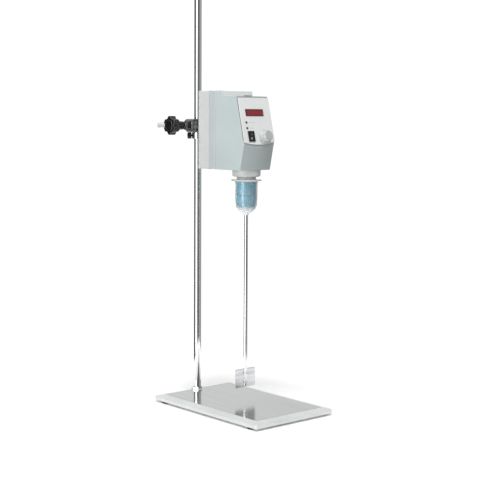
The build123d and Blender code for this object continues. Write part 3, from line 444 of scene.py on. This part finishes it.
def soften(points, radius, steps=4, closed=True):
    """Rounds the corners of a polyline of (r, z) points in millimetres."""
    out = []
    n = len(points)
    for i in range(n):
        p = Vector(points[i])
        if not closed and i in (0, n - 1):
            out.append(tuple(p))
            continue
        a, b = Vector(points[i - 1]), Vector(points[(i + 1) % n])
        u, w = (a - p), (b - p)
        lu, lw = u.length, w.length
        u.normalize(), w.normalize()
        cut = min(radius, 0.45 * lu, 0.45 * lw)
        if u.dot(w) < -0.995 or cut < 0.02:
            out.append(tuple(p))
            continue
        s, e = p + u * cut, p + w * cut
        for k in range(steps + 1):
            t = k / steps
            q = s.lerp(p, t).lerp(p.lerp(e, t), t)
            out.append(tuple(q))
    return out


# ------------------------------------------------------------- star knobs
BY, BZ = 149.0, 592.0


def star_outline(r, k, a):
    """Distance of the scalloped outline at angle a, less an inset; k = 0 leaves the plain circle r."""
    if k == 0:
        return r
    step = math.radians(60)
    d = (a + step / 2) % step - step / 2
    full = 20.0
    root = 8.2 ** 2 - (24.5 * math.sin(d)) ** 2
    notch = 24.5 * math.cos(d) - math.sqrt(root) if root > 0 else 24.5 * math.cos(d) + 4.0 * (abs(d) - 0.33)
    soft = 1.5
    low = min(full, notch)
    outline = low - math.log(math.exp(-soft * (full - low)) + math.exp(-soft * (notch - low))) / soft
    return outline - r


def star_knob(name, origin, direction, body, node):
    rings = [(4.05, 0.0, 0), (7.7, 0.0, 0), (8.25, 0.25, 0), (8.5, 0.9, 0), (8.9, 3.0, 0), (9.2, 8.0, 0), (9.7, 12.0, 0),
             (10.6, 15.5, 0), (11.5, 18.0, 0), (12.4, 20.4, 0), (13.0, 21.8, 0), (13.3, 22.4, 0)]
    arc = [(2.5 * (1 - math.sin(t)), 22.5 + 2.5 * (1 - math.cos(t))) for t in [math.pi / 2 * i / 6 for i in range(7)]]
    rings += [(max(r, 0.001), h, 1) for r, h in arc]
    rings += [(0.001, 27.5, 1), (0.001, 30.2, 1), (0.001, 33.0, 1)]
    rings += [(max(r, 0.001), 38.0 - (h - 22.5), 1) for r, h in reversed(arc)]
    rings += [(12.9, 38.0, 0), (12.6, 37.6, 0), (12.2, 37.5, 0), (11.9, 37.8, 0), (11.7, 38.3, 0), (10.9, 38.8, 0),
              (9.4, 39.15, 0), (6.2, 39.4, 0), (3.0, 39.48, 0), (0, 39.5, 0)]
    rings = [(4.05, 31.9, 0), (0, 31.9, 0)][::-1] + rings
    bm = ringed(rings, 144, star_outline)
    turn = Matrix(((0, 0, direction, 0), (direction, 0, 0, 0), (0, 1, 0, 0), (0, 0, 0, 1)))
    m = Matrix.Translation(Vector(origin) * MM) @ turn
    o = finish_mesh(name, bm, M["knob"], m)
    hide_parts(node)
    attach(o, body)
    return o


star_knob("rod_clamp_star", (-36.0 - 4.3, BY, BZ), -1, "rod_knob", "rod_clamp_knob")
star_knob("arm_clamp_star", (50.0 + 4.3, BY, BZ), 1, "arm_knob", "arm_clamp_knob")

# ------------------------------------------------------------ panel frame
TILT = math.radians(13.74)
P_N = Vector((0, -math.cos(TILT), math.sin(TILT)))
P_X = Vector((1, 0, 0))
P_Y = P_N.cross(P_X)


def panel_frame(u, v, w=0.0):
    """A place on the panel: u from its left edge, v down from its top edge, w out of its face, in millimetres."""
    o = (Vector((20.0, -7.5, 650.0)) + P_X * (u - 42.0) - P_Y * v + P_N * w) * MM
    m = Matrix.Identity(4)
    for i in range(3):
        m[i][0], m[i][1], m[i][2], m[i][3] = P_X[i], P_Y[i], P_N[i], o[i]
    return m


def slab(bm, outline, low, high):
    """A flat piece from an outline of (x, y) points in millimetres, between two heights."""
    base = [bm.verts.new((x * MM, y * MM, low * MM)) for x, y in outline]
    top = [bm.verts.new((x * MM, y * MM, high * MM)) for x, y in outline]
    n = len(outline)
    bm.faces.new(list(reversed(base)))
    bm.faces.new(top)
    for i in range(n):
        j = (i + 1) % n
        bm.faces.new((base[i], base[j], top[j], top[i]))


def pill(cx, cy, w, h, n=6, turn=0.0):
    """Outline of a bar with rounded ends."""
    r = min(w, h) / 2
    pts = []
    for sx, sy, a0 in ((1, 1, 0), (-1, 1, 90), (-1, -1, 180), (1, -1, 270)):
        for i in range(n + 1):
            a = math.radians(a0 + 90 * i / n)
            pts.append((sx * (w / 2 - r) + r * math.cos(a), sy * (h / 2 - r) + r * math.sin(a)))
    c, s = math.cos(turn), math.sin(turn)
    clean = []
    for x, y in pts:
        q = (cx + c * x - s * y, cy + s * x + c * y)
        if not clean or (Vector(q) - Vector(clean[-1])).length > 1e-4:
            clean.append(q)
    if (Vector(clean[0]) - Vector(clean[-1])).length < 1e-4:
        clean.pop()
    return clean


# speed dial: skirt, fluted grip and a crowned top
def dial_radius(r, k, a):
    if k == 0:
        return r
    f = 0.5 + 0.5 * math.cos(18 * a + math.pi)
    return r - k * (1.0 - f ** 0.6)


def speed_dial():
    low, high = [], []
    rings = [(3.02, 12.4, 0), (3.02, 0.9, 0), (13.9, 0.9, 0), (14.4, 1.1, 0), (14.6, 1.6, 0), (14.6, 2.6, 0),
             (14.35, 3.2, 0), (13.6, 3.9, 0), (12.6, 4.45, 0), (11.85, 4.9, 0), (11.5, 5.3, 0.25), (11.4, 6.0, 0.55),
             (11.25, 8.0, 0.62), (11.05, 11.0, 0.62), (10.92, 12.9, 0.6), (10.7, 13.6, 0.4), (10.3, 14.05, 0.15),
             (9.8, 14.25, 0), (8.6, 14.38, 0), (7.4, 14.36, 0), (6.9, 14.2, 0), (6.5, 14.2, 0), (4.0, 14.3, 0), (0, 14.35, 0)]
    rings = [(0, 12.4, 0)] + rings
    bm = ringed(rings, 216, dial_radius)
    o = finish_mesh("speed_dial", bm, M["dial"], panel_frame(57.0, 82.6))
    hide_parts("speed_knob")
    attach(o, "speed_dial")
    bm = bmesh.new()
    slab(bm, pill(0, 8.3, 0.9, 3.0), 14.05, 14.40)
    slab(bm, pill(0, 13.0, 0.9, 1.5), 3.4, 4.22)
    p = finish_mesh("speed_pointer", bm, M["print"], panel_frame(57.0, 82.6))
    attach(p, "speed_dial")


speed_dial()


def dial_scale():
    """Short strokes round the dial, longer at the ends and the middle."""
    bm = bmesh.new()
    for i in range(11):
        a = math.radians(90 + 125 - 25 * i)
        long = 1.9 if i in (0, 5, 10) else 1.2
        rm = 15.7 + long / 2
        slab(bm, pill(rm * math.cos(a), rm * math.sin(a), long, 0.5, turn=a), -0.03, 0.03)
    o = finish_mesh("dial_scale", bm, M["print"], panel_frame(57.0, 82.6))
    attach(o, "head")


dial_scale()


def legends():
    """Plain bars beside the two lamps, in place of wording."""
    bm = bmesh.new()
    for v, parts in ((52.3, ((20.5, 6.5), (29.0, 7.5))), (64.1, ((20.5, 4.5), (26.5, 5.5)))):
        for u, w in parts:
            slab(bm, pill(u + w / 2 - 42.0, -v, w, 1.1), -0.03, 0.02)
    o = finish_mesh("lamp_legends", bm, M["print_pale"], panel_frame(42.0, 0.0))
    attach(o, "head")


legends()


def digits():
    """Four unlit seven-segment figures behind the tinted window."""
    bm = bmesh.new()
    w, h, t, lean = 4.2, 7.6, 0.85, math.tan(math.radians(8))

    def seg(cx, cy, pts):
        slab(bm, [(cx + x + lean * y, cy + y) for x, y in pts], -0.32, -0.27)

    for k in range(4):
        cx = -15.6 + 10.4 * k
        for y in (-h / 2, 0.0, h / 2):
            seg(cx, 0, [(-w / 2 + t * .6, y), (-w / 2 + t * 1.1, y + t / 2), (w / 2 - t * 1.1, y + t / 2), (w / 2 - t * .6, y),
                        (w / 2 - t * 1.1, y - t / 2), (-w / 2 + t * 1.1, y - t / 2)])
        for x in (-w / 2, w / 2):
            for y in (-h / 4, h / 4):
                e = h / 4 - t * .6
                seg(cx, 0, [(x, y - e), (x + t / 2, y - e + t * .5), (x + t / 2, y + e - t * .5), (x, y + e),
                            (x - t / 2, y + e - t * .5), (x - t / 2, y - e + t * .5)])
        slab(bm, pill(cx + w / 2 + 1.4 - lean * h / 2, -h / 2, 0.95, 0.95, 5), -0.32, -0.27)
    o = finish_mesh("display_figures", bm, M["segment"], panel_frame(39.0, 31.6))
    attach(o, "head")


digits()


def frame_ring(bm, outer, inner, low, high, edge=0.25):
    """A closed ring between two outlines of equal length, with its upper edges broken."""
    n = len(outer)
    c = Vector((sum(p[0] for p in outer) / n, sum(p[1] for p in outer) / n))
    rows = []
    for pts, z, shift in ((outer, low, 0), (outer, high - edge, 0), (outer, high, -edge), (inner, high, edge),
                          (inner, high - edge, 0), (inner, low, 0)):
        row = []
        for x, y in pts:
            d = Vector((x, y)) - c
            k = 1 + shift / max(d.length, 1e-6)
            row.append(bm.verts.new(((c.x + d.x * k) * MM, (c.y + d.y * k) * MM, z * MM)))
        rows.append(row)
    for i in range(6):
        p, q = rows[i], rows[(i + 1) % 6]
        for k in range(n):
            j = (k + 1) % n
            bm.faces.new((p[k], p[j], q[j], q[k]))


def panel_shade_strip():
    """A thin dark strip between the panel and the shell, down both sides and across the top: painted shade along the
    panel's edges.
    """
    bm = bmesh.new()
    rows = []
    n = 7
    path = [(-42.0, -91.0), (-42.0, -60.0), (-42.0, -30.0), (-42.0, -3.0)]
    path += [(-42.0 + 2.5 * (1 - math.cos(t)), -2.5 + 2.5 * math.sin(t)) for t in [math.pi / 2 * i / n for i in range(n + 1)]]
    path += [(-20.0, 0.0), (0.0, 0.0), (20.0, 0.0)]
    path += [(42.0 - 2.5 * (1 - math.cos(t)), -2.5 + 2.5 * math.sin(t)) for t in [math.pi / 2 * (n - i) / n for i in range(n + 1)]]
    path += [(42.0, -3.0), (42.0, -30.0), (42.0, -60.0), (42.0, -91.0)]
    clean = [path[0]]
    for q in path[1:]:
        if (Vector(q) - Vector(clean[-1])).length > 1e-3:
            clean.append(q)
    for i, q in enumerate(clean):
        a, b = Vector(clean[max(i - 1, 0)]), Vector(clean[min(i + 1, len(clean) - 1)])
        d = (b - a).normalized()
        side = Vector((-d.y, d.x))
        ring = []
        for off, z in ((0.0, -2.9), (0.5, -2.3), (0.55, -1.2), (0.1, -0.85), (-0.6, -0.85), (-0.6, -2.9)):
            p = Vector(q) + side * off
            ring.append(bm.verts.new((p.x * MM, p.y * MM, z * MM)))
        rows.append(ring)
    for p, q in zip(rows[:-1], rows[1:]):
        for k in range(6):
            j = (k + 1) % 6
            bm.faces.new((p[k], p[j], q[j], q[k]))
    bm.faces.new(rows[0])
    bm.faces.new(list(reversed(rows[-1])))
    o = finish_mesh("panel_shade_strip", bm, M["seal"], panel_frame(42.0, 0.0))
    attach(o, "head")


def rounded_box(w, h, r, n=6):
    pts = []
    for sx, sy, a0 in ((1, 1, 0), (-1, 1, 90), (-1, -1, 180), (1, -1, 270)):
        for i in range(n + 1):
            a = math.radians(a0 + 90 * i / n)
            pts.append((sx * (w / 2 - r) + r * math.cos(a), sy * (h / 2 - r) + r * math.sin(a)))
    return pts


panel_shade_strip()


def trims():
    """A dark frame round the window and small rings round the two lamps."""
    bm = bmesh.new()
    frame_ring(bm, rounded_box(48.6, 14.6, 1.2), rounded_box(45.9, 12.1, 0.4), -0.05, 0.55)
    o = finish_mesh("window_frame", bm, M["bezel"], panel_frame(39.0, 31.6))
    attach(o, "head")
    for k, (u, v) in enumerate(((13.2, 52.3), (13.2, 64.1))):
        bm = bmesh.new()
        circle = lambda r: [(r * math.cos(2 * math.pi * i / 48), r * math.sin(2 * math.pi * i / 48)) for i in range(48)]
        frame_ring(bm, circle(2.5), circle(1.58), -0.05, 0.5, 0.15)
        o = finish_mesh("lamp_ring_%d" % (k + 1), bm, M["black"], panel_frame(u, v))
        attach(o, "head")


trims()


# rocker switch: two dished faces that meet in a ridge
def rocker():
    piv = -1.0
    pol = lambda r, d: (r * math.cos(math.radians(d)), piv + r * math.sin(math.radians(d)))
    a, b, c = pol(8.2, 170), pol(2.6, 101), pol(8.2, 32)

    def dished(p, q, sag, n=8):
        p, q = Vector(p), Vector(q)
        side = Vector((-(q - p).y, (q - p).x)).normalized()
        if side.y > 0:
            side = -side
        return [tuple(p.lerp(q, i / n) + side * sag * 4 * (i / n) * (1 - i / n)) for i in range(n + 1)]

    arc = [pol(8.2, d) for d in (32, 24, 16, 8, 1)]
    pts = dished(a, b, 0.22) + dished(b, c, 0.28)[1:] + arc[1:] + [pol(4.6, 281), pol(8.2, 201)]
    bm = bmesh.new()
    left = [bm.verts.new((-5.5 * MM, y * MM, z * MM)) for y, z in pts]
    right = [bm.verts.new((5.5 * MM, y * MM, z * MM)) for y, z in pts]
    bm.faces.new(left)
    bm.faces.new(list(reversed(right)))
    n = len(pts)
    for i in range(n):
        j = (i + 1) % n
        bm.faces.new((left[i], right[i], right[j], left[j]))
    bmesh.ops.recalc_face_normals(bm, faces=bm.faces)
    edges = [e for e in bm.edges if len(e.link_faces) == 2 and e.calc_face_angle(0.0) > math.radians(24)]
    bmesh.ops.bevel(bm, geom=edges, offset=0.32 * MM, segments=3, profile=0.6, affect="EDGES", clamp_overlap=True)
    o = finish_mesh("rocker_cap", bm, M["black"], panel_frame(21.3, 81.3))
    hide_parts("power_rocker")
    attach(o, "rocker")

    def on_face(p, q, t, lift):
        """A frame on one face of the rocker, t of the way along it."""
        p, q = Vector(p), Vector(q)
        d = (q - p).normalized()
        nrm = Vector((-d.y, d.x))
        if nrm.y < 0:
            nrm = -nrm
        at = p.lerp(q, t) + nrm * lift
        m = Matrix(((1, 0, 0, 0), (0, d.x, nrm.x, at.x * MM), (0, d.y, nrm.y, at.y * MM), (0, 0, 0, 1)))
        return panel_frame(21.3, 81.3) @ m

    # I and O marks on the rocker's faces; the O ring on the lower face is large and bright so that it also stands for a
    # painted highlight there
    bm = bmesh.new()
    ring_o = [(2.3 * math.cos(2 * math.pi * i / 48), 2.3 * math.sin(2 * math.pi * i / 48)) for i in range(48)]
    ring_i = [(1.55 * math.cos(2 * math.pi * i / 48), 1.55 * math.sin(2 * math.pi * i / 48)) for i in range(48)]
    lo = [[bm.verts.new((x * MM, y * MM, z * MM)) for x, y in ring] for ring, z in
          ((ring_o, -0.12), (ring_o, 0.06), (ring_i, 0.06), (ring_i, -0.12))]
    for i in range(4):
        p, q = lo[i], lo[(i + 1) % 4]
        for k in range(48):
            j = (k + 1) % 48
            bm.faces.new((p[k], p[j], q[j], q[k]))
    o = finish_mesh("rocker_mark_off_and_highlight", bm, M["mark_white"], on_face(a, b, 0.5, -0.2))
    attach(o, "rocker")
    bm = bmesh.new()
    slab(bm, pill(0, 0, 0.6, 3.4), -0.12, 0.06)
    o = finish_mesh("rocker_mark_on", bm, M["mark_white"], on_face(b, c, 0.55, -0.25))
    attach(o, "rocker")


rocker()

# ------------------------------------------------ chuck rings and the guard
SX, SY = 20.0, 12.0


def chuck_radius(count):
    def f(r, k, a):
        if k == 0:
            return r
        return r - k * (0.5 - 0.5 * math.cos(count * a)) ** 3
    return f


def at_spindle():
    return Matrix.Translation(Vector((SX, SY, 0)) * MM)


def chuck_rings():
    prof = [(14.15, 463.05), (18.9, 463.05), (18.9, 449.45), (20.0, 449.45)]
    outer = [(20.45, 449.7, 0), (20.6, 450.3, 0.0), (20.62, 450.8, 0.35), (20.65, 453.0, 0.45), (20.7, 458.0, 0.45),
             (20.76, 466.0, 0.45), (20.8, 471.0, 0.45), (20.84, 472.6, 0.3), (20.86, 473.4, 0), (20.9, 474.6, 0),
             (20.8, 475.2, 0), (20.4, 475.9, 0), (19.7, 476.5, 0), (14.15, 476.5, 0)]
    bm = ringed([(r, z, 0) for r, z in prof] + outer, 240, chuck_radius(30))
    o = finish_mesh("chuck_upper_ring", bm, M["blue"], at_spindle())
    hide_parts("chuck_collar")
    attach(o, "spindle_set")
    prof = [(12.15, 431.0, 0), (12.15, 423.7, 0), (13.6, 422.3, 0), (15.2, 421.25, 0), (15.9, 421.45, 0), (16.4, 422.1, 0),
            (17.6, 424.8, 0), (18.9, 427.8, 0), (19.8, 430.0, 0), (20.2, 431.2, 0.0), (20.5, 433.0, 0.2),
            (20.6, 434.2, 0.45), (20.6, 440.0, 0.45), (20.6, 446.2, 0.45), (20.6, 447.3, 0.2), (20.55, 448.0, 0),
            (20.35, 448.5, 0), (19.9, 448.75, 0), (18.9, 448.75, 0), (18.9, 433.5, 0), (17.0, 431.0, 0)]
    bm = ringed(prof, 240, chuck_radius(30))
    o = finish_mesh("chuck_lower_ring", bm, M["blue"], at_spindle())
    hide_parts("chuck_sleeve")
    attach(o, "sleeve")


chuck_rings()


def guard():
    prof = [(22.47, 477.6), (22.47, 481.25), (31.5, 481.25), (31.95, 480.8), (31.95, 478.7), (31.4, 478.05), (25.4, 478.05),
            (24.1, 476.6), (23.9, 474.0), (23.75, 472.6), (23.6, 458.0), (23.4, 447.0), (23.2, 436.0), (22.9, 431.0),
            (22.2, 427.0), (21.2, 423.9), (19.8, 421.0), (17.6, 417.9), (15.0, 415.4), (12.1, 413.1), (9.2, 411.4),
            (6.9, 410.2), (5.6, 409.0), (5.45, 408.2), (5.45, 406.65), (4.65, 406.65), (4.65, 410.1), (8.3, 412.8),
            (11.3, 414.6), (14.0, 416.6), (16.5, 419.0), (18.5, 421.8), (20.0, 424.6), (20.8, 427.4), (21.3, 430.0),
            (21.6, 433.0), (22.0, 450.0), (22.45, 470.0)]
    bm = ringed([(r, z, 0) for r, z in soften(prof, 0.6, 3)], 128, plain)
    o = finish_mesh("drip_guard", bm, M["guard"], at_spindle())
    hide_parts("chuck_guard")
    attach(o, "guard")


guard()


# --------------------------------------------------------- studio and floor
def studio():
    bm = bmesh.new()
    rings = [(0, 0.0), (0.15, 0.0), (0.3, 0.0), (0.42, 0.0), (0.52, 0.0)]
    seg = 96
    loops = []
    for r, z in rings:
        if r == 0:
            loops.append([bm.verts.new((0, 0, z))])
        else:
            loops.append([bm.verts.new((r * math.cos(2 * math.pi * i / seg), r * math.sin(2 * math.pi * i / seg), z))
                          for i in range(seg)])
    for a, b in zip(loops[:-1], loops[1:]):
        for i in range(seg):
            j = (i + 1) % seg
            if len(a) == 1:
                bm.faces.new((a[0], b[i], b[j]))
            else:
                bm.faces.new((a[i], b[i], b[j], a[j]))
    m, nt, s = start_material("studio_floor")
    nt.links.new(tones(nt, noise(nt, coords(nt), 3.0, 2.0), [(0.3, (.93, .93, .93, 1)), (0.7, (.95, .95, .95, 1))]),
                 s.inputs["Base Color"])
    s.inputs["Roughness"].default_value = 0.8
    s.inputs["Specular IOR Level"].default_value = 0.1
    s.inputs["Emission Color"].default_value = (1, 1, 1, 1)
    where = nt.nodes.new("ShaderNodeVectorMath")
    where.operation = "LENGTH"
    nt.links.new(coords(nt), where.inputs[0])
    glow = spread(nt, where.outputs["Value"], 0.06, 0.62, 0.24, 0.50)
    nt.links.new(glow, s.inputs["Emission Strength"])
    floor = finish_mesh("studio_floor", bm, m)

    world = bpy.data.worlds.new("studio_world")
    bpy.context.scene.world = world
    world.use_nodes = True
    nt = world.node_tree
    nt.nodes.clear()
    out = nt.nodes.new("ShaderNodeOutputWorld")
    seen = nt.nodes.new("ShaderNodeBackground")
    seen.inputs["Color"].default_value = (1, 1, 1, 1)
    seen.inputs["Strength"].default_value = 1.05
    round_about = nt.nodes.new("ShaderNodeBackground")
    path = nt.nodes.new("ShaderNodeLightPath")
    mix = nt.nodes.new("ShaderNodeMixShader")
    nt.links.new(path.outputs["Is Camera Ray"], mix.inputs[0])
    nt.links.new(round_about.outputs[0], mix.inputs[1])
    nt.links.new(seen.outputs[0], mix.inputs[2])
    nt.links.new(mix.outputs[0], out.inputs["Surface"])
    # the studio round the object: a bright soft box on the left, a grey side, darker gaps between them
    tc = nt.nodes.new("ShaderNodeTexCoord")
    sep = nt.nodes.new("ShaderNodeSeparateXYZ")
    nt.links.new(tc.outputs["Generated"], sep.inputs[0])
    at = nt.nodes.new("ShaderNodeMath")
    at.operation = "ARCTAN2"
    nt.links.new(sep.outputs["Y"], at.inputs[0])
    nt.links.new(sep.outputs["X"], at.inputs[1])
    # angle from the -131.3 degree direction, wrapped to 0..1 with 0.5 straight on
    shift = nt.nodes.new("ShaderNodeMath")
    shift.operation = "MULTIPLY_ADD"
    shift.inputs[1].default_value = -1.0 / (2 * math.pi)
    shift.inputs[2].default_value = 0.5 + math.radians(-131.3) / (2 * math.pi)
    nt.links.new(at.outputs[0], shift.inputs[0])
    frac = nt.nodes.new("ShaderNodeMath")
    frac.operation = "FRACT"
    plus = nt.nodes.new("ShaderNodeMath")
    plus.operation = "ADD"
    plus.inputs[1].default_value = 2.0
    nt.links.new(shift.outputs[0], plus.inputs[0])
    nt.links.new(plus.outputs[0], frac.inputs[0])
    g = lambda v: (v, v, v, 1)
    ring = tones(nt, frac.outputs[0], [
        (0.0, g(0.80)), (1.0, g(0.80)), (0.06, g(0.58)), (0.10, g(0.36)), (0.244, g(0.40)), (0.34, g(0.48)), (0.362, g(0.15)),
        (0.42, g(0.12)), (0.46, g(0.24)), (0.552, g(0.26)), (0.576, g(4.7)), (0.634, g(4.7)), (0.656, g(0.10)),
        (0.87, g(0.06)), (0.90, g(0.6)), (0.94, g(0.9))])
    high = nt.nodes.new("ShaderNodeMapRange")
    high.interpolation_type = "SMOOTHSTEP"
    high.inputs["From Min"].default_value = 0.22
    high.inputs["From Max"].default_value = 0.60
    nt.links.new(sep.outputs["Z"], high.inputs["Value"])
    colour = mixed(nt, high.outputs["Result"], ring, (0.62, 0.62, 0.62, 1.0))
    nt.links.new(colour, round_about.inputs["Color"])
    round_about.inputs["Strength"].default_value = 1.0

    def area(name, at, to, size, power, colour=(1, 1, 1)):
        d = bpy.data.lights.new(name, "AREA")
        d.shape = "SQUARE"
        d.size = size
        d.energy = power
        d.color = colour
        o = bpy.data.objects.new(name, d)
        bpy.context.scene.collection.objects.link(o)
        o.location = at
        o.rotation_euler = (Vector(to) - Vector(at)).to_track_quat("-Z", "Y").to_euler()

    area("top_light", (-0.62, -0.70, 2.55), (0, 0, 0.45), 0.9, 35.0)
    area("left_light", (-2.1, -0.1, 1.45), (0.0, 0.05, 0.5), 0.8, 1.5)

    sc = bpy.context.scene
    sc.view_settings.view_transform = "Standard"
    sc.view_settings.look = "None"
    sc.view_settings.exposure = 0.0
    sc.view_settings.gamma = 1.0


make_camera()
studio()

bpy.context.view_layer.update()
